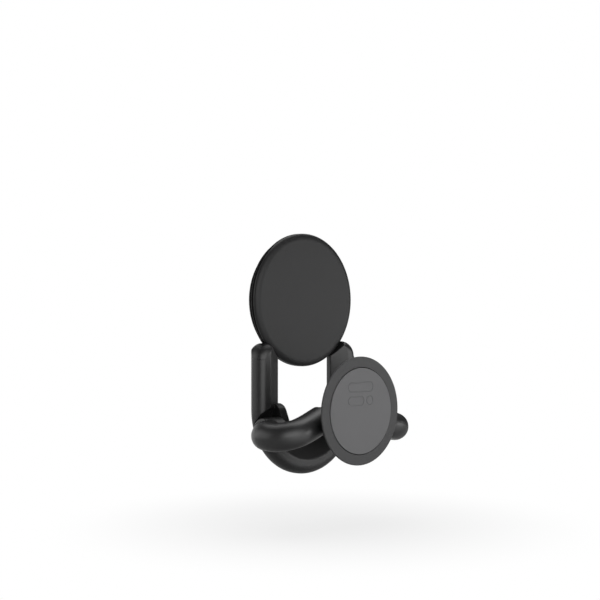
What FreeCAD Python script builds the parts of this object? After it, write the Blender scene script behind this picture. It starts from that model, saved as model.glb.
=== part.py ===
import FreeCAD, Part
import math
import os

from FreeCAD import Vector

# Adhesive mount: a stick-on base, a folding arm, a two-pronged fork and the pop-out grip it carries.
# Millimetres. The origin is the centre of the adhesive face, which looks along -Y; +Z is up.

os.makedirs("parts", exist_ok=True)

ACROSS = Vector(1, 0, 0)
BACKWARD = Vector(0, 1, 0)

# Clearances
moving_gap = 0.3
pad_gap = 0.2

# Base
base_radius = 15.7
base_rim = 0.45
base_thickness = 2.0
base_slope = 1.8
rim_round = 0.25
ring_width = 3.25
pad_thickness = 1.15
pad_proud = 0.25
pad_round = 0.15
base_front = pad_proud
base_back = base_front + base_thickness
pad_radius = base_radius - ring_width

# Hinge between base and arm
bar_radius = 4.05
hub_clearance = 2.65
hub_z = -3.0
hub_half_width = 9.0
journal_radius = 2.6
screw_radius = 1.1
screw_head_radius = 2.1
screw_head_depth = 1.0
screw_wall = 1.1
screw_end_cover = 0.6
flange_end_margin = 0.2
flange_side_margin = 0.7
flange_round = 2.0
clamp_cap_depth = 3.0
hub_y = base_back + bar_radius + hub_clearance
screw_offset = journal_radius + moving_gap + screw_radius + screw_wall
clamp_half_width = screw_head_radius + flange_side_margin
clamp_reach = screw_offset + screw_head_radius + flange_end_margin

# Grip, across its axis
button_radius = 19.95
button_taper = 0.45
skirt_width = 2.35
cover_edge_width = 2.0
cover_edge_depth = 1.0
platform_inset = 0.85
platform_taper = 1.1
grip_pad_inset = 0.5
bellows_inset = 1.0
bellows_inner = 9.4
bellows_lip = 1.0
bellows_folds = 2
platform_radius = button_radius - platform_inset
platform_back_radius = platform_radius - platform_taper
skirt_inner = button_radius - skirt_width
bellows_outer = skirt_inner - bellows_inset

# Fork
fork_middle_y = 24.05
fork_half_thickness = 2.8
fork_overhang = 0.15
prong_width = 9.3
rail_width = 4.2
rail_round = 2.6
crest_round = 1.5
lip_half_thickness = 0.9
lip_set_back = 0.6
lip_round = 0.5
bend_z = 0.0
prong_length = 19.3
tip_front_round = 2.8
tip_back_round = 0.8
fork_front = fork_middle_y - fork_half_thickness
fork_back = fork_middle_y + fork_half_thickness
outer_radius = button_radius + fork_overhang
crest_radius = outer_radius - rail_width
lip_radius = outer_radius - prong_width
tip_z = bend_z + prong_length

# Hinge between arm and fork
fold_forward = 1.0
fold_drop = 6.6
ear_radius = 2.8
ear_inset = 0.2
ear_width = 2.6
ear_rise = 8.2
ear_lean = 24.0
ear_round = 3.4
knuckle_radius = 4.5
knuckle_overhang = 0.1
knuckle_round = 0.6
scoop_forward = 1.5
scoop_up = 2.85
scoop_tilt = 20.0
pin_radius = 1.5
pin_head_radius = 2.6
pin_head_height = 0.8
pin_end_cover = 1.8
fold_y = fork_front - fold_forward
fold_z = bend_z - fold_drop
ear_inner = lip_radius + ear_inset
ear_outer = ear_inner + ear_width
knuckle_inner = ear_outer + moving_gap
knuckle_outer = outer_radius + knuckle_overhang
pin_end = knuckle_outer - pin_end_cover

# Arm
elbow_inset = 1.0
elbow_forward = 8.25
elbow_drop = 0.1
elbow_radius = 5.5
rise_power = 1.25
run_past_shoulder = 3.0
elbow_x = outer_radius - elbow_inset
elbow_y = fold_y - elbow_forward
elbow_z = fold_z - elbow_drop

# Grip, along its axis from the back
grip_standoff = 2.4
seat_depth = 3.05
grip_pad_thickness = 0.7
platform_thickness = 2.2
platform_land = 0.7
platform_floor = 0.8
bellows_wall = 0.7
button_skirt = 0.75
button_plate = 0.8
cover_thickness = 1.25
grip_z = tip_z - seat_depth + math.sqrt(platform_radius**2 - lip_radius**2)
grip_back = fork_back + grip_standoff
pad_front = grip_back - grip_pad_thickness
platform_front = pad_front - platform_thickness
floor_y = pad_front - platform_floor
skirt_back = platform_front - moving_gap
plate_back = skirt_back - button_skirt
plate_front = plate_back - button_plate
cover_front = plate_front - cover_thickness


def cylinder(radius, start, direction, length):
    return Part.makeCylinder(radius, length, start, direction)


def box_between(low, high):
    size = high.sub(low)
    return Part.makeBox(size.x, size.y, size.z, low)


def mirrored(shape):
    return shape.mirror(Vector(0, 0, 0), ACROSS)


def turned(points, axis_z):
    """A solid of revolution about the line along Y at height axis_z, from (radius, y) points."""
    corners = [Vector(radius, y, axis_z) for radius, y in points]
    face = Part.Face(Part.makePolygon(corners + corners[:1]))
    return face.revolve(Vector(0, 0, axis_z), BACKWARD, 360)


def rim_at(shape, y):
    """The flat round edges of a shape at one depth."""
    return [e for e in shape.Edges if e.BoundBox.YLength < 0.01 and abs(e.BoundBox.YMin - y) < 0.01]


def rounded_outline(corners):
    """A closed wire through (point, radius) corners, each one rounded by an arc of its radius."""
    arcs = []
    for index, (point, radius) in enumerate(corners):
        following = corners[(index + 1) % len(corners)][0]
        to_last = corners[index - 1][0].sub(point).normalize()
        to_next = following.sub(point).normalize()
        half_angle = to_last.getAngle(to_next) / 2
        inward = to_last.add(to_next).normalize()
        reach = radius / math.tan(half_angle)
        middle = point + inward * (radius / math.sin(half_angle) - radius)
        arcs.append((point + to_last * reach, middle, point + to_next * reach))
    edges = []
    for index, (start, middle, end) in enumerate(arcs):
        edges.append(Part.Arc(start, middle, end).toShape())
        edges.append(Part.makeLine(end, arcs[(index + 1) % len(arcs)][0]))
    return Part.Wire(edges)


def hub_point(x):
    return Vector(x, hub_y, hub_z)


def fold_point(x):
    return Vector(x, fold_y, fold_z)


def screw_places():
    return [hub_z - screw_offset, hub_z + screw_offset]


def barrel_slice(y_start, y_end):
    """The part of the hinge barrel between two depths."""
    barrel = cylinder(bar_radius, hub_point(-hub_half_width), ACROSS, 2 * hub_half_width)
    keep = box_between(
        Vector(-hub_half_width, y_start, hub_z - clamp_reach),
        Vector(hub_half_width, y_end, hub_z + clamp_reach),
    )
    return barrel.common(keep)


def journal_bore():
    return cylinder(
        journal_radius + moving_gap, hub_point(-hub_half_width - 1), ACROSS, 2 * hub_half_width + 2
    )


def flange(y_start, y_end):
    plate = box_between(
        Vector(-clamp_half_width, y_start, hub_z - clamp_reach),
        Vector(clamp_half_width, y_end, hub_z + clamp_reach),
    )
    corners = [edge for edge in plate.Edges if abs(edge.tangentAt(edge.FirstParameter).y) > 0.9]
    return plate.makeFillet(flange_round, corners)


def screw_hole(z, y_start, y_end):
    return cylinder(screw_radius, Vector(0, y_start, z), BACKWARD, y_end - y_start)


def make_base_plate():
    disc = turned(
        [
            (0, base_front),
            (base_radius, base_front),
            (base_radius, base_front + base_rim),
            (base_radius - base_slope, base_back),
            (0, base_back),
        ],
        0,
    )
    disc = disc.makeFillet(rim_round, rim_at(disc, base_front))
    saddle = box_between(
        Vector(-hub_half_width, base_back - 0.5, hub_z - bar_radius),
        Vector(hub_half_width, hub_y, hub_z + bar_radius),
    )
    body = disc.fuse([saddle, flange(base_back - 0.5, hub_y)])
    recess = cylinder(pad_radius + pad_gap, Vector(0, 0, 0), BACKWARD, pad_thickness)
    body = body.cut(recess).cut(journal_bore())
    for z in screw_places():
        head = cylinder(screw_head_radius, Vector(0, pad_thickness, z), BACKWARD, screw_head_depth)
        body = body.cut(head.fuse(screw_hole(z, pad_thickness, hub_y + 1)))
    return body.removeSplitter()


def make_adhesive_pad():
    pad = cylinder(pad_radius, Vector(0, 0, 0), BACKWARD, pad_thickness)
    return pad.makeFillet(pad_round, rim_at(pad, 0))


def make_hinge_cap():
    cap_end = hub_y + clamp_cap_depth
    body = barrel_slice(hub_y, hub_y + bar_radius).fuse(flange(hub_y, cap_end))
    body = body.cut(journal_bore())
    for z in screw_places():
        body = body.cut(screw_hole(z, hub_y, cap_end - screw_end_cover))
    return body.removeSplitter()


def make_cap_screw(z):
    head = cylinder(screw_head_radius, Vector(0, pad_thickness, z), BACKWARD, screw_head_depth)
    end = hub_y + clamp_cap_depth - screw_end_cover
    return head.fuse(screw_hole(z, pad_thickness, end)).removeSplitter()


def eased(share):
    return share * share * (3 - 2 * share)


def touch_angle(point, side):
    """Direction from the elbow's centre to where a line from point touches the elbow, seen from above."""
    away_x = point.x - elbow_x
    away_y = point.y - elbow_y
    spread = math.acos(elbow_radius / math.hypot(away_x, away_y))
    return math.atan2(away_y, away_x) + side * spread


def arm_path():
    """The centre line of half the arm, from the fold hinge to just past its shoulder at the base hinge."""
    root = fold_point((knuckle_inner + knuckle_outer) / 2)
    end = hub_point(hub_half_width + moving_gap - run_past_shoulder)
    first = touch_angle(root, -1)
    last = touch_angle(end, 1)
    first -= 2 * math.pi * (first > math.pi)
    last -= 2 * math.pi * (last > first)
    plan = [(root.x, root.y)]
    arc_steps = 8
    for step in range(arc_steps + 1):
        angle = first + (last - first) * step / arc_steps
        plan.append((elbow_x + elbow_radius * math.cos(angle), elbow_y + elbow_radius * math.sin(angle)))
    straight_start = plan[-1]
    for share in (0.5, 1.0):
        x = straight_start[0] + (end.x - straight_start[0]) * share
        y = straight_start[1] + (end.y - straight_start[1]) * share
        plan.append((x, y))
    travel = [0.0]
    for here, there in zip(plan, plan[1:]):
        travel.append(travel[-1] + math.dist(here, there))
    middle = travel[1 + arc_steps // 2]
    points = []
    for (x, y), gone in zip(plan, travel):
        if gone <= middle:
            z = fold_z + (elbow_z - fold_z) * eased(gone / middle)
        else:
            share = (gone - middle) / (travel[-1] - run_past_shoulder - middle)
            z = elbow_z + (hub_z - elbow_z) * share**rise_power
        points.append(Vector(x, y, z))
    curve = Part.BSplineCurve()
    curve.interpolate(Points=points)
    return Part.Wire(curve.toShape())


def make_half_arm():
    path = arm_path()
    edge = path.Edges[0]
    start = edge.FirstParameter
    ring = Part.makeCircle(bar_radius, edge.valueAt(start), edge.tangentAt(start))
    tube = path.makePipeShell([Part.Wire(ring)], True, False)
    knuckle = cylinder(knuckle_radius, fold_point(knuckle_inner), ACROSS, knuckle_outer - knuckle_inner)
    outer_rim = [e for e in knuckle.Edges if len(e.Vertexes) == 1 and e.BoundBox.XMin > knuckle_outer - 0.1]
    knuckle = knuckle.makeFillet(knuckle_round, outer_rim)
    ear_room = box_between(
        Vector(ear_inner - moving_gap, fold_y - ear_radius - moving_gap, fold_z - 2 * knuckle_radius),
        Vector(knuckle_inner, fold_y + 2 * knuckle_radius, fold_z + 2 * knuckle_radius),
    )
    hub_room = box_between(
        Vector(0, hub_y - 2 * bar_radius, hub_z - 2 * bar_radius),
        Vector(hub_half_width + moving_gap, hub_y + 2 * bar_radius, hub_z + 2 * bar_radius),
    )
    bore = cylinder(pin_radius + moving_gap, fold_point(ear_outer), ACROSS, pin_end + moving_gap - ear_outer)
    return tube.fuse(knuckle).cut([ear_room, hub_room, bore])


def make_arm():
    half = make_half_arm()
    shoulder = hub_half_width + moving_gap
    journal = cylinder(journal_radius, hub_point(-shoulder - 1), ACROSS, 2 * shoulder + 2)
    return half.fuse([mirrored(half), journal]).removeSplitter()


def fork_section():
    """Cross-section of the right prong at the bend: a thin lip, a bevel on each side and a full rail."""
    deep = fork_half_thickness
    side_round = min(rail_round, 0.9 * deep)
    outline = [
        (lip_radius, lip_set_back + lip_half_thickness, lip_round),
        (lip_radius, lip_set_back - lip_half_thickness, lip_round),
        (crest_radius, -deep, crest_round),
        (outer_radius, -deep, side_round),
        (outer_radius, deep, side_round),
        (crest_radius, deep, crest_round),
    ]
    corners = [(Vector(x, fork_middle_y + offset, bend_z), radius) for x, offset, radius in outline]
    return Part.Face(rounded_outline(corners))


def make_prong():
    bar = fork_section().extrude(Vector(0, 0, tip_z - bend_z))
    half_width = (outer_radius - lip_radius) / 2
    middle = (outer_radius + lip_radius) / 2
    crown_z = tip_z - half_width
    outline = box_between(
        Vector(lip_radius - 1, fork_front - 1, bend_z), Vector(outer_radius + 1, fork_back + 1, crown_z)
    )
    crown = cylinder(half_width, Vector(middle, fork_front, crown_z), BACKWARD, fork_back - fork_front)
    crown = crown.makeFillet(tip_front_round, rim_at(crown, fork_front))
    crown = crown.makeFillet(tip_back_round, rim_at(crown, fork_back))
    return bar.common(outline.fuse(crown))


def make_ear():
    """A lug on the inner side of a prong: a disc round the fold pin, leaning back to a rounded shoulder."""
    centre = fold_point(ear_inner)
    lean = math.radians(ear_lean)
    touch = centre + Vector(0, -math.cos(lean), math.sin(lean)) * ear_radius
    climb = fold_z + ear_rise - touch.z
    shoulder = touch + Vector(0, climb * math.tan(lean), climb)
    corners = [
        touch,
        shoulder,
        Vector(ear_inner, fork_middle_y, shoulder.z),
        Vector(ear_inner, fork_middle_y, fold_z - ear_radius),
        centre - Vector(0, 0, ear_radius),
        centre,
    ]
    web = Part.Face(Part.makePolygon(corners + corners[:1])).extrude(ACROSS * ear_width)
    shoulder_edge = shoulder + ACROSS * (ear_width / 2)
    web = web.makeFillet(ear_round, [e for e in web.Edges if e.CenterOfMass.isEqual(shoulder_edge, 0.01)])
    return cylinder(ear_radius, centre, ACROSS, ear_width).fuse(web)


def knuckle_notch():
    """Room for the right knuckle in the fork, and a scoop over it that runs out towards the outer side."""
    room_radius = knuckle_radius + moving_gap
    turning = cylinder(room_radius, fold_point(ear_outer), ACROSS, outer_radius)
    tilt = math.radians(scoop_tilt)
    along = Vector(math.cos(tilt), 0, -math.sin(tilt))
    over_crest = Vector(crest_radius, fold_y - scoop_forward, fold_z + scoop_up)
    scoop = cylinder(room_radius, over_crest - along * outer_radius, along, 2 * outer_radius)
    outside_ear = box_between(
        Vector(ear_outer, fold_y - 2 * room_radius, fold_z - 2 * room_radius),
        Vector(2 * outer_radius, fold_y + 2 * room_radius, fold_z + 4 * room_radius),
    )
    return turning.fuse(scoop.common(outside_ear))


def grip_seat():
    """Room for the grip in the prong tips: its platform touches them, its moving button clears them."""
    split = platform_front - moving_gap / 2
    start = Vector(0, fork_front - 1, grip_z)
    moving = cylinder(button_radius + moving_gap, start, BACKWARD, split - fork_front + 1)
    fixed = cylinder(platform_radius, Vector(0, split, grip_z), BACKWARD, fork_back + 1 - split)
    return moving.fuse(fixed)


def make_fork():
    prong = make_prong()
    bend = fork_section().revolve(Vector(0, 0, bend_z), BACKWARD, 180)
    body = bend.fuse([prong, mirrored(prong)])
    notch = knuckle_notch()
    body = body.cut([notch, mirrored(notch)])
    ear = make_ear()
    body = body.fuse([ear, mirrored(ear)])
    hole = cylinder(pin_radius, fold_point(ear_inner - 3), ACROSS, ear_outer - ear_inner + 3)
    room = cylinder(pin_head_radius, fold_point(0), ACROSS, ear_inner)
    body = body.cut([hole, mirrored(hole), room, mirrored(room), grip_seat()])
    return body.removeSplitter()


def make_fold_pin():
    shank = cylinder(pin_radius, fold_point(ear_inner), ACROSS, pin_end - ear_inner)
    head = cylinder(pin_head_radius, fold_point(ear_inner - pin_head_height), ACROSS, pin_head_height)
    return head.fuse(shank).removeSplitter()


def make_grip_pad():
    radius = platform_back_radius - grip_pad_inset
    return cylinder(radius, Vector(0, pad_front, grip_z), BACKWARD, grip_pad_thickness)


def make_platform():
    well_radius = bellows_outer + moving_gap
    profile = [
        (0, pad_front),
        (platform_back_radius, pad_front),
        (platform_radius, platform_front + platform_land),
        (platform_radius, platform_front),
        (well_radius, platform_front),
        (well_radius, floor_y),
        (0, floor_y),
    ]
    return turned(profile, grip_z)


def make_bellows():
    """A sleeve folded flat: its wall zigzags inwards between the platform's floor and the button's plate."""
    valley = plate_back + bellows_wall
    steps = 2 * bellows_folds + 1
    pitch = (bellows_outer - bellows_inner - 2 * bellows_lip) / steps
    back_side = [(bellows_outer, floor_y)]
    for step in range(steps + 1):
        radius = bellows_outer - bellows_lip - step * pitch
        back_side.append((radius, valley if step % 2 else floor_y))
    back_side.append((bellows_inner, valley))
    front_side = [(radius, y - bellows_wall) for radius, y in reversed(back_side)]
    return turned(back_side + front_side, grip_z)


def make_button():
    profile = [
        (0, plate_front),
        (button_radius, plate_front),
        (button_radius, plate_back),
        (button_radius - button_taper, skirt_back),
        (skirt_inner, skirt_back),
        (skirt_inner, plate_back),
        (0, plate_back),
    ]
    return turned(profile, grip_z)


def make_cover():
    """A flat disc whose rim falls away in a quarter of an ellipse."""
    face_radius = button_radius - cover_edge_width
    rim_y = cover_front + cover_edge_depth
    middle = Vector(face_radius, rim_y, grip_z)
    rim_start = Vector(button_radius, rim_y, grip_z)
    face_end = Vector(face_radius, cover_front, grip_z)
    ellipse = Part.Ellipse(rim_start, face_end, middle)
    corners = [
        rim_start,
        Vector(button_radius, plate_front, grip_z),
        Vector(0, plate_front, grip_z),
        Vector(0, cover_front, grip_z),
        face_end,
    ]
    edges = [Part.makeLine(here, there) for here, there in zip(corners, corners[1:])]
    edges.append(Part.ArcOfEllipse(ellipse, 0, math.pi / 2).toShape())
    face = Part.Face(Part.Wire(edges))
    return face.revolve(Vector(0, 0, grip_z), BACKWARD, 360)


def save(name, shape):
    shape.exportStep("parts/" + name + ".step")


lower_screw_z, upper_screw_z = screw_places()
fold_pin = make_fold_pin()

save("base_plate", make_base_plate())
save("adhesive_pad", make_adhesive_pad())
save("hinge_cap", make_hinge_cap())
save("cap_screw_lower", make_cap_screw(lower_screw_z))
save("cap_screw_upper", make_cap_screw(upper_screw_z))
save("arm", make_arm())
save("fork", make_fork())
save("fold_pin_right", fold_pin)
save("fold_pin_left", mirrored(fold_pin))
save("grip_pad", make_grip_pad())
save("grip_platform", make_platform())
save("grip_bellows", make_bellows())
save("grip_button", make_button())
save("grip_cover", make_cover())
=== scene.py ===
# %% [markdown]
# # A stick-on mount with a folding arm, a fork and a pop-out grip
# The rigid pieces come from CAD as a fixed frame. This lesson dresses that frame: it turns the
# soft sleeve and a few small pieces in mesh code, gives every surface a moulded or metal finish,
# and lights the whole from both sides, as small black products are usually lit.

import math

import bmesh
import bpy
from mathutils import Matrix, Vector


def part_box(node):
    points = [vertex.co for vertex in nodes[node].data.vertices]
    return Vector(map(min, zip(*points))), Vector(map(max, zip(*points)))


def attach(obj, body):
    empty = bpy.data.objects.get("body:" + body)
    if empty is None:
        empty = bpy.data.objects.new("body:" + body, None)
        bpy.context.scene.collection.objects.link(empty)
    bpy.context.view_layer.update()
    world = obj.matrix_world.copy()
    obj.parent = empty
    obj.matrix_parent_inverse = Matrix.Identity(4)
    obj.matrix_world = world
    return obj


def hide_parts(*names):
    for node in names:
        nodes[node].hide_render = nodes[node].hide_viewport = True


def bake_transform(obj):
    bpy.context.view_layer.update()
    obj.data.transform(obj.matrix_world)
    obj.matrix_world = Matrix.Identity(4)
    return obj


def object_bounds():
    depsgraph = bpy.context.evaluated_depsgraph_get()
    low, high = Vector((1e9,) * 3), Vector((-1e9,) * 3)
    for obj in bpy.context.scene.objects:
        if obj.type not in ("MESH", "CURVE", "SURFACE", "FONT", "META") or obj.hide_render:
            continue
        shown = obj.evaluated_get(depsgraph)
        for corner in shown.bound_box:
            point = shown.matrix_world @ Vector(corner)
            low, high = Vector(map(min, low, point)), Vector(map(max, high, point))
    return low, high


MM = 0.001
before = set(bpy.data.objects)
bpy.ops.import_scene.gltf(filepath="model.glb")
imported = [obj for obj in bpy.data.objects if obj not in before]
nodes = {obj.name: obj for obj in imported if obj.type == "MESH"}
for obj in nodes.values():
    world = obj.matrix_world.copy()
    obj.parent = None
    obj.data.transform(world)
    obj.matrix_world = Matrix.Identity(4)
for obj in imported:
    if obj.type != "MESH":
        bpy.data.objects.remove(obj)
cad_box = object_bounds()
print("CAD box in mm:", [[round(value / MM, 2) for value in corner] for corner in cad_box])

# %% [markdown]
# ## Where the viewer stands
# The picture looks level at the middle of the grip, from the front and well to the left, so the
# round faces turn into ellipses. A long lens keeps the two prongs nearly the same size. The camera
# is placed by a heading, a distance and a small sideways step, which are easy to change by hand.

# %% Camera
PICTURE_PIXELS = 600
FOCAL_PIXELS = 1381.07
SENSOR_MM = 36.0
HEADING = math.radians(43.355)
VIEW_DISTANCE = 419.18 * MM
SIDE_STEP = 2.343 * MM

cover_low, cover_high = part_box("grip_cover")
grip_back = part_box("grip_pad")[1].y
grip_centre = Vector((0, grip_back, (cover_low.z + cover_high.z) / 2))
view_direction = Vector((math.sin(HEADING), math.cos(HEADING), 0))
view_right = Vector((math.cos(HEADING), -math.sin(HEADING), 0))

camera_data = bpy.data.cameras.new("camera")
camera_data.sensor_width = SENSOR_MM
camera_data.lens = FOCAL_PIXELS / PICTURE_PIXELS * SENSOR_MM
camera = bpy.data.objects.new("camera", camera_data)
camera.location = grip_centre - view_direction * VIEW_DISTANCE + view_right * SIDE_STEP
camera.rotation_euler = (math.radians(90), 0, -HEADING)
bpy.context.scene.collection.objects.link(camera)
bpy.context.scene.camera = camera
print("camera at", [round(value / MM, 1) for value in camera.location], "mm")
print("lens:", round(camera_data.lens, 2), "mm")

# %% [markdown]
# ## Turned pieces
# Discs, pins and sleeves are all turned: a profile of radius and height is spun about an axis.
# A spin in bmesh does this in one call. Real mouldings have no knife edges, so each corner of a
# profile may carry a small rounding, which catches a line of light in the render.

# %% Helpers for turned pieces
TURN_STEPS = 160
CORNER_STEPS = 4
SHARP_ANGLE = 40
MERGE_DISTANCE = 0.002 * MM


def rounded_profile(corners):
    """Points of a closed profile from (radius, height, rounding) corners, with arcs for roundings."""
    points = []
    for index, (radius, height, rounding) in enumerate(corners):
        corner = Vector((radius, height))
        if rounding == 0:
            points.append(corner)
            continue
        last = Vector(corners[index - 1][:2]) - corner
        following = Vector(corners[(index + 1) % len(corners)][:2]) - corner
        last.normalize()
        following.normalize()
        half_angle = last.angle(following) / 2
        reach = rounding / math.tan(half_angle)
        middle = corner + (last + following).normalized() * (rounding / math.sin(half_angle))
        start = corner + last * reach - middle
        sweep = start.angle_signed(corner + following * reach - middle)
        for step in range(CORNER_STEPS + 1):
            turn = -sweep * step / CORNER_STEPS
            turned = Vector((
                start.x * math.cos(turn) - start.y * math.sin(turn),
                start.x * math.sin(turn) + start.y * math.cos(turn),
            ))
            points.append(middle + turned)
    return points


def turned_piece(name, profile, foot, axis, steps=TURN_STEPS, sharp=SHARP_ANGLE):
    """A closed mesh spun about a line through foot along axis; edges above sharp degrees stay hard."""
    axis = Vector(axis).normalized()
    side = axis.orthogonal().normalized()
    mesh = bpy.data.meshes.new(name)
    made = bmesh.new()
    ring = [made.verts.new(foot + side * radius + axis * height) for radius, height in profile]
    edges = [
        made.edges.new((ring[index - 1], ring[index]))
        for index in range(len(ring))
        if profile[index - 1][0] > 0 or profile[index][0] > 0
    ]
    bmesh.ops.spin(
        made, geom=ring + edges, cent=foot, axis=axis, angle=math.tau, steps=steps, use_merge=True,
    )
    bmesh.ops.remove_doubles(made, verts=made.verts, dist=MERGE_DISTANCE)
    bmesh.ops.dissolve_degenerate(made, edges=made.edges, dist=MERGE_DISTANCE)
    bmesh.ops.recalc_face_normals(made, faces=made.faces)
    made.to_mesh(mesh)
    made.free()
    mesh.shade_smooth()
    mesh.set_sharp_from_angle(angle=math.radians(sharp))
    piece = bpy.data.objects.new(name, mesh)
    bpy.context.scene.collection.objects.link(piece)
    return piece


print("steps in a full turn:", TURN_STEPS)

# %% [markdown]
# ## The adhesive pad
# A grey, slightly soft disc sits in the recess of the base. Its face carries the faint outlines of
# the inserts of its mould: two long ones and a round one, all empty. They could be painted with a
# bump, but real grooves also show in the exported mesh, so thin bands are cut out of the disc.

# %% Pad with mould outlines
GROOVE_WIDTH = 0.26 * MM
GROOVE_DEPTH = 0.1 * MM
PAD_EDGE = 0.15 * MM
PAD_SHARP_ANGLE = 30
PILL_STEPS = 20
# Left, right, lower and upper limit of each outline, in mm
MOULD_OUTLINES = [
    (-5.6, 4.8, 5.5, 8.4),
    (-5.6, 1.0, 1.6, 4.4),
    (1.9, 4.7, 1.6, 4.4),
]

pad_low, pad_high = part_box("adhesive_pad")
pad_radius = pad_high.x
pad_depth = pad_high.y - pad_low.y


def pill_loop(left, right, low, high, inset):
    """Points round an outline with full round ends, moved inwards by inset, in X and Z."""
    rounding = (high - low) / 2 - inset
    middle_z = (low + high) / 2
    points = []
    ends = [(right - inset - rounding, -math.pi / 2), (left + inset + rounding, math.pi / 2)]
    for end_x, first in ends:
        for step in range(PILL_STEPS + 1):
            angle = first + math.pi * step / PILL_STEPS
            points.append((end_x + rounding * math.cos(angle), middle_z + rounding * math.sin(angle)))
    return points


def groove_cutter(name, left, right, low, high):
    """A closed band round one outline, which reaches from in front of the pad to the groove's floor."""
    outer = pill_loop(left, right, low, high, 0)
    inner = pill_loop(left, right, low, high, GROOVE_WIDTH)
    front, back = pad_low.y - GROOVE_DEPTH, pad_low.y + GROOVE_DEPTH
    rows = [(outer, front), (outer, back), (inner, back), (inner, front)]
    made = bmesh.new()
    rings = [[made.verts.new((x, y, z)) for x, z in loop] for loop, y in rows]
    count = len(outer)
    for row in range(len(rings)):
        here, there = rings[row], rings[(row + 1) % len(rings)]
        for index in range(count):
            after = (index + 1) % count
            made.faces.new((here[index], here[after], there[after], there[index]))
    bmesh.ops.remove_doubles(made, verts=made.verts, dist=MERGE_DISTANCE)
    bmesh.ops.recalc_face_normals(made, faces=made.faces)
    mesh = bpy.data.meshes.new(name)
    made.to_mesh(mesh)
    made.free()
    cutter = bpy.data.objects.new(name, mesh)
    bpy.context.scene.collection.objects.link(cutter)
    return cutter


def cut_away(piece, cutter):
    """Cut cutter out of piece for good, and drop the cutter."""
    cut = piece.modifiers.new("cut", "BOOLEAN")
    cut.operation = "DIFFERENCE"
    cut.solver = "EXACT"
    cut.object = cutter
    graph = bpy.context.evaluated_depsgraph_get()
    shape = bpy.data.meshes.new_from_object(piece.evaluated_get(graph))
    piece.modifiers.clear()
    piece.data = shape
    bpy.data.objects.remove(cutter)


pad_profile = rounded_profile([
    (0, 0, 0),
    (pad_radius, 0, PAD_EDGE),
    (pad_radius, pad_depth, 0),
    (0, pad_depth, 0),
])
pad = turned_piece("pad", pad_profile, Vector((0, pad_low.y, 0)), (0, 1, 0))
for number, outline in enumerate(MOULD_OUTLINES):
    left, right, low, high = [value * MM for value in outline]
    cut_away(pad, groove_cutter("groove_%d" % number, left, right, low, high))
pad.data.shade_smooth()
pad.data.set_sharp_from_angle(angle=math.radians(PAD_SHARP_ANGLE))
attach(pad, "base")
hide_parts("adhesive_pad")
print("pad faces:", len(pad.data.polygons))

# %% [markdown]
# ## The sleeve in the grip
# Between the fixed ring and the button of the grip lies a soft sleeve, folded flat like a
# concertina. Shut, it hardly shows; popped out, it is the tallest thing on the grip. Every fold is
# placed by the share of the pop that it would take under an easing in and out, and unease() turns
# a share back into a place.

# %% Sleeve
SLEEVE_FOLDS = 3
SLEEVE_WALL = 0.5 * MM
SLEEVE_EDGE = 0.4 * MM
SLEEVE_INNER = 10.2 * MM
SLEEVE_STEPS = 128
SLEEVE_SMOOTH = 180
FOLD_DEPTH = 2.9 * MM
FOLD_EASE = 0.3 * MM
FOLD_EASE_SHARE = 0.018

sleeve_low, sleeve_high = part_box("grip_bellows")
sleeve_outer = sleeve_high.x - SLEEVE_EDGE
sleeve_travel = sleeve_high.y - sleeve_low.y


def unease(share):
    """The place between 0 and 1 at which a smooth step reaches share."""
    share = min(max(share, 0), 1)
    return 0.5 - math.sin(math.asin(1 - 2 * share) / 3)


def sleeve_profile():
    """The sleeve's closed profile, shut: in and out down the outside, back up one wall further in."""
    turns = 2 * SLEEVE_FOLDS
    narrowing = (sleeve_outer - SLEEVE_INNER - FOLD_DEPTH) / (turns - 1)
    outside = []
    for turn in range(turns + 1):
        crest = max(sleeve_outer - narrowing * turn - (FOLD_DEPTH if turn % 2 else 0), SLEEVE_INNER)
        set_back = FOLD_EASE if turn % 2 else -FOLD_EASE
        steps = [(0, 0)]
        if 0 < turn < turns:
            steps = [(set_back, -FOLD_EASE_SHARE), (0, 0), (set_back, FOLD_EASE_SHARE)]
        for shift, share_step in steps:
            outside.append((crest + shift, -unease(turn / turns + share_step) * sleeve_travel))
    inside = [(radius - SLEEVE_WALL, height) for radius, height in outside]
    return outside + inside[::-1]


sleeve_foot = Vector((0, sleeve_high.y, grip_centre.z))
sleeve = turned_piece(
    "sleeve", sleeve_profile(), sleeve_foot, (0, 1, 0), steps=SLEEVE_STEPS, sharp=SLEEVE_SMOOTH,
)
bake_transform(sleeve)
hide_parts("grip_bellows")
print("sleeve folds:", SLEEVE_FOLDS, "travel in mm:", round(sleeve_travel / MM, 2))

# %% [markdown]
# ## The fold pins
# Each end of the arm turns on a short pin with a low domed head on the inner side of the prong.
# The CAD pin is a plain stepped cylinder; a turned one gets the dome and a chamfered point.

# %% Pins
PIN_DOME = 0.28 * MM
PIN_CHAMFER = 0.3 * MM
PIN_SHANK = 1.5 * MM
PIN_HEAD = 2.6 * MM
PIN_HEAD_HEIGHT = 0.8 * MM
PIN_STEPS = 48
DOME_STEPS = 5
DOME_SPREAD = 0.94
DOME_RISE = 0.8
DOME_LIP = 0.06 * MM


def pin_profile(length):
    """A pin from its domed head at height 0 to its chamfered point."""
    points = []
    for step in range(DOME_STEPS + 1):
        share = step / DOME_STEPS
        points.append((PIN_HEAD * share * DOME_SPREAD, PIN_DOME * share**2 * DOME_RISE))
    points += [
        (PIN_HEAD, PIN_DOME + DOME_LIP),
        (PIN_HEAD, PIN_HEAD_HEIGHT),
        (PIN_SHANK, PIN_HEAD_HEIGHT),
        (PIN_SHANK, length - PIN_CHAMFER),
        (PIN_SHANK - PIN_CHAMFER, length),
        (0, length),
    ]
    return points


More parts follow.
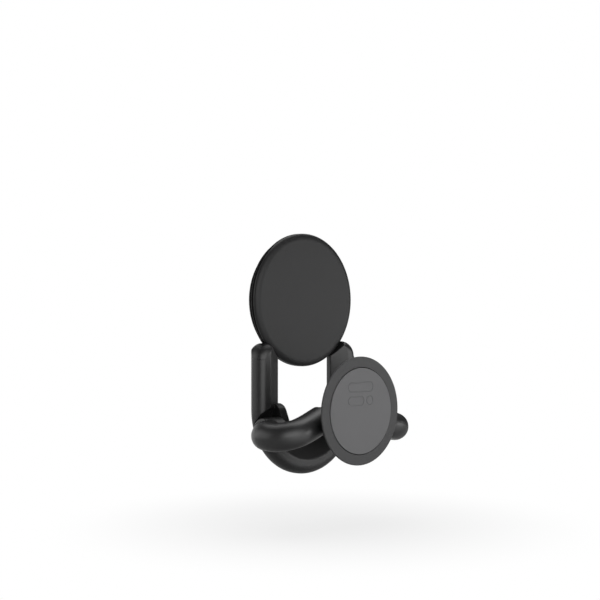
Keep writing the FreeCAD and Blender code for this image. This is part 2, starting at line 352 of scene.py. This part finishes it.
for side, sign in (("right", 1), ("left", -1)):
    pin_low, pin_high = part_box("fold_pin_" + side)
    head_x = pin_low.x if sign > 0 else pin_high.x
    foot = Vector((head_x, (pin_low.y + pin_high.y) / 2, (pin_low.z + pin_high.z) / 2))
    profile = pin_profile(pin_high.x - pin_low.x)
    pin = turned_piece("pin_" + side, profile, foot, (sign, 0, 0), steps=PIN_STEPS)
    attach(pin, "fork")
    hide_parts("fold_pin_" + side)
    print("pin", side, "from x", round(head_x / MM, 2), "mm")

# %% [markdown]
# ## One skin for every moulding
# All the plastic here is black, but no two faces are quite the same: each has a spark-eroded grain
# too fine to count, a faint drift in tone from the flow of the plastic, and gloss that varies with
# the grain. A node group makes these once. It gives out a colour, a roughness and a height; the
# Principled shader stays in each material, where its plain numbers are set.

# %% Node helpers
def new_group(name, inputs, outputs):
    """An empty shader group with named sockets; inputs are (name, type, default)."""
    group = bpy.data.node_groups.new(name, "ShaderNodeTree")
    for socket_name, kind, default in inputs:
        socket = group.interface.new_socket(socket_name, in_out="INPUT", socket_type=kind)
        socket.default_value = default
    for socket_name, kind in outputs:
        group.interface.new_socket(socket_name, in_out="OUTPUT", socket_type=kind)
    return group, group.nodes.new("NodeGroupInput"), group.nodes.new("NodeGroupOutput")


def math_node(tree, operation, first, second):
    """A Math node fed by sockets or plain numbers."""
    node = tree.nodes.new("ShaderNodeMath")
    node.operation = operation
    for socket, value in zip(node.inputs, (first, second)):
        if isinstance(value, (int, float)):
            socket.default_value = value
        else:
            tree.links.new(value, socket)
    return node.outputs[0]


def noise_node(tree, place, scale, detail):
    """A noise between 0 and 1 over the object's own coordinates."""
    node = tree.nodes.new("ShaderNodeTexNoise")
    node.inputs["Detail"].default_value = detail
    tree.links.new(place, node.inputs["Vector"])
    if isinstance(scale, (int, float)):
        node.inputs["Scale"].default_value = scale
    else:
        tree.links.new(scale, node.inputs["Scale"])
    return node.outputs["Fac"]


# %% Skin group
NOISE_MIDDLE = 0.5
GRAIN_DETAIL = 2.0
GRAIN_SHARE = 0.5
FLOW_SCALE = 140.0
FLOW_DETAIL = 3.0

moulded_skin, skin_in, skin_out = new_group(
    "moulded_skin",
    [
        ("Color", "NodeSocketColor", (0.05, 0.05, 0.05, 1)),
        ("Roughness", "NodeSocketFloat", 0.5),
        ("Grain Scale", "NodeSocketFloat", 5000.0),
        ("Drift", "NodeSocketFloat", 0.1),
        ("Gloss Spread", "NodeSocketFloat", 0.1),
    ],
    [("Color", "NodeSocketColor"), ("Roughness", "NodeSocketFloat"), ("Height", "NodeSocketFloat")],
)
skin_place = moulded_skin.nodes.new("ShaderNodeTexCoord").outputs["Object"]
grain = noise_node(moulded_skin, skin_place, skin_in.outputs["Grain Scale"], GRAIN_DETAIL)
flow = noise_node(moulded_skin, skin_place, FLOW_SCALE, FLOW_DETAIL)
flow_shift = math_node(moulded_skin, "SUBTRACT", flow, NOISE_MIDDLE)
grain_shift = math_node(moulded_skin, "SUBTRACT", grain, NOISE_MIDDLE)
grain_tone = math_node(moulded_skin, "MULTIPLY", grain_shift, GRAIN_SHARE)
tone_shift = math_node(moulded_skin, "ADD", flow_shift, grain_tone)
tone_drift = math_node(moulded_skin, "MULTIPLY", tone_shift, skin_in.outputs["Drift"])
tone = math_node(moulded_skin, "ADD", 1.0, tone_drift)
tinted = moulded_skin.nodes.new("ShaderNodeVectorMath")
tinted.operation = "SCALE"
moulded_skin.links.new(skin_in.outputs["Color"], tinted.inputs[0])
moulded_skin.links.new(tone, tinted.inputs["Scale"])
gloss_shift = math_node(moulded_skin, "MULTIPLY", grain_shift, skin_in.outputs["Gloss Spread"])
gloss = math_node(moulded_skin, "ADD", skin_in.outputs["Roughness"], gloss_shift)
moulded_skin.links.new(tinted.outputs[0], skin_out.inputs["Color"])
moulded_skin.links.new(gloss, skin_out.inputs["Roughness"])
moulded_skin.links.new(grain, skin_out.inputs["Height"])
print("skin group gives:", [socket.name for socket in skin_out.inputs if socket.name])

# %% [markdown]
# ## Edges that catch the light
# CAD edges are knife sharp. A Bevel node rounds them for the light alone, without touching the mesh.
# Where its normal leaves the true one there is an edge, so the two together also make a mask.

# %% Edge group
EDGE_SAMPLES = 6
EDGE_FULL = 0.9

eased_edges, edges_in, edges_out = new_group(
    "eased_edges",
    [("Radius", "NodeSocketFloat", 0.0003)],
    [("Normal", "NodeSocketVector"), ("Mask", "NodeSocketFloat")],
)
edge_bevel = eased_edges.nodes.new("ShaderNodeBevel")
edge_bevel.samples = EDGE_SAMPLES
eased_edges.links.new(edges_in.outputs["Radius"], edge_bevel.inputs["Radius"])
true_normal = eased_edges.nodes.new("ShaderNodeNewGeometry").outputs["Normal"]
agreement = eased_edges.nodes.new("ShaderNodeVectorMath")
agreement.operation = "DOT_PRODUCT"
eased_edges.links.new(edge_bevel.outputs["Normal"], agreement.inputs[0])
eased_edges.links.new(true_normal, agreement.inputs[1])
edge_mask = eased_edges.nodes.new("ShaderNodeMapRange")
edge_mask.inputs["From Min"].default_value = 1.0
edge_mask.inputs["From Max"].default_value = EDGE_FULL
eased_edges.links.new(agreement.outputs["Value"], edge_mask.inputs["Value"])
eased_edges.links.new(edge_bevel.outputs["Normal"], edges_out.inputs["Normal"])
eased_edges.links.new(edge_mask.outputs["Result"], edges_out.inputs["Mask"])
print("node groups:", [group.name for group in bpy.data.node_groups])

# %% [markdown]
# ## Moulded plastic and rubber
# One function builds all the moulded finishes. They differ in tone, in gloss, in the size of the
# grain and in how far the edges are eased. Hands and pockets polish an edge first, so the mask of
# the eased edges takes a little off the roughness there.

# %% Moulded materials
EDGE_POLISH = 0.12
RELIEF_DEPTH = 0.02 * MM


def place_group(tree, group, **values):
    """Put a group into a material and set its inputs by name."""
    node = tree.nodes.new("ShaderNodeGroup")
    node.node_tree = group
    for socket_name, value in values.items():
        node.inputs[socket_name.replace("_", " ")].default_value = value
    return node


def relief_node(tree, height, strength, depth):
    """A Bump node for a fine relief."""
    node = tree.nodes.new("ShaderNodeBump")
    node.inputs["Strength"].default_value = strength
    node.inputs["Distance"].default_value = depth
    tree.links.new(height, node.inputs["Height"])
    return node


def moulded_material(name, tone, roughness, specular, grain_mm, drift, spread, bump, edge_mm):
    """A moulded finish: grain_mm is the size of the grain, and edge_mm how far edges are eased."""
    material = bpy.data.materials.new(name)
    material.use_nodes = True
    tree = material.node_tree
    shader = tree.nodes["Principled BSDF"]
    shader.inputs["Specular IOR Level"].default_value = specular
    skin = place_group(
        tree, moulded_skin,
        Color=(*tone, 1), Roughness=roughness, Grain_Scale=1 / (grain_mm * MM),
        Drift=drift, Gloss_Spread=spread,
    )
    edges = place_group(tree, eased_edges, Radius=edge_mm * MM)
    relief = relief_node(tree, skin.outputs["Height"], bump, RELIEF_DEPTH)
    tree.links.new(edges.outputs["Normal"], relief.inputs["Normal"])
    tree.links.new(relief.outputs["Normal"], shader.inputs["Normal"])
    tree.links.new(skin.outputs["Color"], shader.inputs["Base Color"])
    polish = math_node(tree, "MULTIPLY", edges.outputs["Mask"], EDGE_POLISH)
    polished = math_node(tree, "SUBTRACT", skin.outputs["Roughness"], polish)
    tree.links.new(polished, shader.inputs["Roughness"])
    return material


arm_plastic = moulded_material(
    "satin_arm_plastic", (0.014, 0.014, 0.0143), roughness=0.42, specular=0.8,
    grain_mm=0.12, drift=0.12, spread=0.1, bump=0.12, edge_mm=0.25,
)
# The fork is the same plastic as the arm: its lower tone is painted shade, which darkens its sides.
fork_plastic_painted_shade = moulded_material(
    "satin_fork_plastic_painted_shade", (0.01, 0.01, 0.0102), roughness=0.44, specular=0.75,
    grain_mm=0.12, drift=0.12, spread=0.1, bump=0.12, edge_mm=0.25,
)
ring_plastic = moulded_material(
    "etched_ring_plastic", (0.062, 0.062, 0.0632), roughness=0.5, specular=0.35,
    grain_mm=0.1, drift=0.1, spread=0.12, bump=0.25, edge_mm=0.15,
)
cover_plastic = moulded_material(
    "matt_cover_plastic", (0.022, 0.022, 0.0224), roughness=0.42, specular=0.28,
    grain_mm=0.14, drift=0.08, spread=0.1, bump=0.15, edge_mm=0.15,
)
# Button and platform: black plastic made darker and duller than it is, as painted shade for the band
# round the back of the grip.
grip_plastic_painted_shade = moulded_material(
    "dark_grip_plastic_painted_shade", (0.003, 0.003, 0.0031), roughness=0.6, specular=0.06,
    grain_mm=0.14, drift=0.1, spread=0.1, bump=0.15, edge_mm=0.12,
)
pad_gel = moulded_material(
    "grey_pad_gel", (0.18, 0.18, 0.1836), roughness=0.6, specular=0.25,
    grain_mm=0.2, drift=0.06, spread=0.08, bump=0.1, edge_mm=0.1,
)
sleeve_rubber = moulded_material(
    "soft_sleeve_rubber", (0.022, 0.022, 0.023), roughness=0.68, specular=0.25,
    grain_mm=0.16, drift=0.12, spread=0.1, bump=0.2, edge_mm=0.1,
)

hard_finishes = [arm_plastic, fork_plastic_painted_shade, ring_plastic, cover_plastic, grip_plastic_painted_shade]
soft_finishes = [pad_gel, sleeve_rubber]
print("moulded finishes:", [finish.name for finish in hard_finishes + soft_finishes])

# %% [markdown]
# ## Blackened steel
# The screws and pins are steel with a dark finish. The same skin serves here, with more drift in
# its tone and gloss, and the shader is told that it is a metal, so its colour tints what it mirrors.

# %% Steel
STEEL_GRAIN = 9000.0
STEEL_DRIFT = 0.3
STEEL_SPREAD = 0.3
STEEL_BUMP = 0.1
STEEL_RELIEF = 0.01 * MM


def steel_material(name, tone, roughness):
    """Dark metal with a fine grain in its tone, gloss and relief."""
    material = bpy.data.materials.new(name)
    material.use_nodes = True
    tree = material.node_tree
    shader = tree.nodes["Principled BSDF"]
    shader.inputs["Metallic"].default_value = 1.0
    skin = place_group(
        tree, moulded_skin,
        Color=(*tone, 1), Roughness=roughness, Grain_Scale=STEEL_GRAIN,
        Drift=STEEL_DRIFT, Gloss_Spread=STEEL_SPREAD,
    )
    relief = relief_node(tree, skin.outputs["Height"], STEEL_BUMP, STEEL_RELIEF)
    tree.links.new(relief.outputs["Normal"], shader.inputs["Normal"])
    tree.links.new(skin.outputs["Color"], shader.inputs["Base Color"])
    tree.links.new(skin.outputs["Roughness"], shader.inputs["Roughness"])
    return material


dark_steel = steel_material("blackened_steel", (0.16, 0.16, 0.165), roughness=0.38)
print("steel finish:", dark_steel.name)

# %% [markdown]
# ## Dressing the pieces
# Each CAD node and each new piece takes its finish here, in two tables of names.

# %% Finishes
NODE_FINISHES = {
    "base_plate": ring_plastic,
    "hinge_cap": arm_plastic,
    "cap_screw_lower": dark_steel,
    "cap_screw_upper": dark_steel,
    "arm": arm_plastic,
    "fork": fork_plastic_painted_shade,
    "grip_pad": pad_gel,
    "grip_platform": grip_plastic_painted_shade,
    "grip_button": grip_plastic_painted_shade,
    "grip_cover": cover_plastic,
}
PIECE_FINISHES = {
    "pad": pad_gel,
    "sleeve": sleeve_rubber,
    "pin_right": dark_steel,
    "pin_left": dark_steel,
}


def dress(piece, material):
    """Give a piece one finish all over."""
    piece.data.materials.clear()
    piece.data.materials.append(material)


for node_name, finish in NODE_FINISHES.items():
    dress(nodes[node_name], finish)
for piece_name, finish in PIECE_FINISHES.items():
    dress(bpy.data.objects[piece_name], finish)
print("dressed pieces:", len(NODE_FINISHES) + len(PIECE_FINISHES))

# %% [markdown]
# ## Floor and background
# The background is white. The floor lies a little below the mount, takes its soft shadow and fades
# to the white of the background further out. White comes from what the rays see, not from more light
# on the mount. Reflections see white as well, but only in two wide sheets, behind the mount and in
# front of it: black plastic shows its shape by what it mirrors, so the dark between them matters too.

# %% Floor
FLOOR_DROP = 14 * MM
FLOOR_REACH = 3.0

floor_mesh = bpy.data.meshes.new("floor")
half = FLOOR_REACH / 2
floor_mesh.from_pydata(
    [(-half, -half, 0), (half, -half, 0), (half, half, 0), (-half, half, 0)], [], [(0, 1, 2, 3)],
)
floor = bpy.data.objects.new("floor", floor_mesh)
floor.location.z = cad_box[0].z - FLOOR_DROP
floor.location.y = (cad_box[0].y + cad_box[1].y) / 2
bpy.context.scene.collection.objects.link(floor)
print("floor at z", round(floor.location.z / MM, 1), "mm")


# %% Helpers for directions and white
def towards(turn, rise):
    """A direction from the mount: degrees to the right of straight away from the viewer, and up."""
    turn, rise = math.radians(turn), math.radians(rise)
    level = view_direction * math.cos(turn) + view_right * math.sin(turn)
    return level * math.cos(rise) + Vector((0, 0, math.sin(rise)))


def ease_node(tree, value, low, high, start=0.0):
    """A smooth climb from start at low to 1 at high."""
    node = tree.nodes.new("ShaderNodeMapRange")
    node.interpolation_type = "SMOOTHSTEP"
    node.inputs["From Min"].default_value = low
    node.inputs["From Max"].default_value = high
    node.inputs["To Min"].default_value = start
    tree.links.new(value, node.inputs["Value"])
    return node.outputs["Result"]


def along_node(tree, place, direction):
    """How far a place lies along a direction."""
    node = tree.nodes.new("ShaderNodeVectorMath")
    node.operation = "DOT_PRODUCT"
    tree.links.new(place, node.inputs[0])
    node.inputs[1].default_value = direction
    return node.outputs["Value"]


def white_share(tree, camera_share, mirror_share):
    """How much white a ray sees: one share for the camera, another for reflections."""
    rays = tree.nodes.new("ShaderNodeLightPath").outputs
    mirrored = math_node(tree, "MAXIMUM", rays["Is Glossy Ray"], rays["Is Transmission Ray"])
    to_camera = math_node(tree, "MULTIPLY", rays["Is Camera Ray"], camera_share)
    in_mirror = math_node(tree, "MULTIPLY", mirrored, mirror_share)
    return math_node(tree, "MAXIMUM", to_camera, in_mirror)


# %% Floor material
FLOOR_TONE = 0.6
# How white the camera sees the floor, from a share near the mount to all of it further out, in metres
WHITE_NEAR = 0.8
WHITE_FROM = 0.01
WHITE_FULL = 0.085
# Where reflections see it white: the distance in metres, and the turn and softness of the two sheets
MIRROR_FROM = 0.02
MIRROR_FULL = 0.08
SHEET_TURNS = (-20, 130)
SHEET_EDGE = 0.6
SHEET_CORE = 0.85


def floor_material():
    """A matt floor that turns to plain white for some of the rays that see it."""
    material = bpy.data.materials.new("white_floor")
    material.use_nodes = True
    tree = material.node_tree
    tree.nodes.remove(tree.nodes["Principled BSDF"])
    matt = tree.nodes.new("ShaderNodeBsdfDiffuse")
    matt.inputs["Color"].default_value = (FLOOR_TONE, FLOOR_TONE, FLOOR_TONE, 1)
    glow = tree.nodes.new("ShaderNodeEmission")
    place = tree.nodes.new("ShaderNodeTexCoord").outputs["Object"]
    distance = tree.nodes.new("ShaderNodeVectorMath")
    distance.operation = "LENGTH"
    tree.links.new(place, distance.inputs[0])
    camera_share = ease_node(tree, distance.outputs["Value"], WHITE_FROM, WHITE_FULL, WHITE_NEAR)
    bearing = tree.nodes.new("ShaderNodeVectorMath")
    bearing.operation = "NORMALIZE"
    tree.links.new(place, bearing.inputs[0])
    ways = [along_node(tree, bearing.outputs["Vector"], towards(turn, 0)) for turn in SHEET_TURNS]
    sheets = [ease_node(tree, way, SHEET_EDGE, SHEET_CORE) for way in ways]
    near = ease_node(tree, distance.outputs["Value"], MIRROR_FROM, MIRROR_FULL)
    mirror_share = math_node(tree, "MULTIPLY", math_node(tree, "MAXIMUM", *sheets), near)
    mix = tree.nodes.new("ShaderNodeMixShader")
    tree.links.new(white_share(tree, camera_share, mirror_share), mix.inputs["Fac"])
    tree.links.new(matt.outputs[0], mix.inputs[1])
    tree.links.new(glow.outputs[0], mix.inputs[2])
    tree.links.new(mix.outputs[0], tree.nodes["Material Output"].inputs["Surface"])
    return material


dress(floor, floor_material())
print("floor dressed in", floor.data.materials[0].name)

# %% [markdown]
# ## Light
# Black plastic is lit by its reflections. A large soft box stands in front, to the right of the
# viewer, and a small one on the right. A broad dim one stands on the left. The gap between the front
# and the left box draws the dark line down each round edge. A fourth box above and behind lights the
# tops. Directions are given as the viewer sees them, which makes a highlight easy to move.

# %% Lamps
LIGHT_DISTANCE = 0.55
light_target = (cad_box[0] + cad_box[1]) / 2


def soft_box(name, direction, width, height, power):
    """A rectangular lamp that looks at the mount from a direction."""
    lamp_data = bpy.data.lights.new(name, "AREA")
    lamp_data.shape = "RECTANGLE"
    lamp_data.size = width
    lamp_data.size_y = height
    lamp_data.energy = power
    lamp = bpy.data.objects.new(name, lamp_data)
    direction = Vector(direction).normalized()
    lamp.location = light_target + direction * LIGHT_DISTANCE
    lamp.rotation_euler = direction.to_track_quat("Z", "Y").to_euler()
    bpy.context.scene.collection.objects.link(lamp)


soft_box("front_box", towards(turn=152, rise=8), width=0.7, height=0.5, power=2.3)
soft_box("right_box", towards(turn=88, rise=-1), width=0.4, height=0.2, power=0.7)
soft_box("left_box", towards(turn=-95, rise=5), width=0.75, height=0.6, power=1.5)
soft_box("top_box", towards(turn=10, rise=66), width=0.6, height=0.5, power=1.9)

# %% [markdown]
# ## The world
# The world gives a little even light. The camera sees it white, and so do reflections in one soft
# round patch behind the mount and to the left, which edges the left-hand sides with light.

# %% World
AMBIENT = 0.03
BACKDROP_TURN = -35
BACKDROP_RISE = -8
BACKDROP_EDGE = 0.8
BACKDROP_CORE = 0.97

world = bpy.data.worlds.new("studio")
world.use_nodes = True
bpy.context.scene.world = world
sky = world.node_tree
ambient = sky.nodes["Background"]
ambient.inputs["Color"].default_value = (AMBIENT, AMBIENT, AMBIENT, 1)
white = sky.nodes.new("ShaderNodeBackground")
white.inputs["Color"].default_value = (1, 1, 1, 1)
sky_place = sky.nodes.new("ShaderNodeTexCoord").outputs["Generated"]
facing = along_node(sky, sky_place, towards(BACKDROP_TURN, BACKDROP_RISE))
choice = sky.nodes.new("ShaderNodeMixShader")
mirror_share = ease_node(sky, facing, BACKDROP_EDGE, BACKDROP_CORE)
sky.links.new(white_share(sky, 1.0, mirror_share), choice.inputs["Fac"])
sky.links.new(ambient.outputs[0], choice.inputs[1])
sky.links.new(white.outputs[0], choice.inputs[2])
sky.links.new(choice.outputs[0], sky.nodes["World Output"].inputs["Surface"])
bpy.context.scene.view_settings.view_transform = "Standard"
print("world:", world.name, "with view transform", bpy.context.scene.view_settings.view_transform)
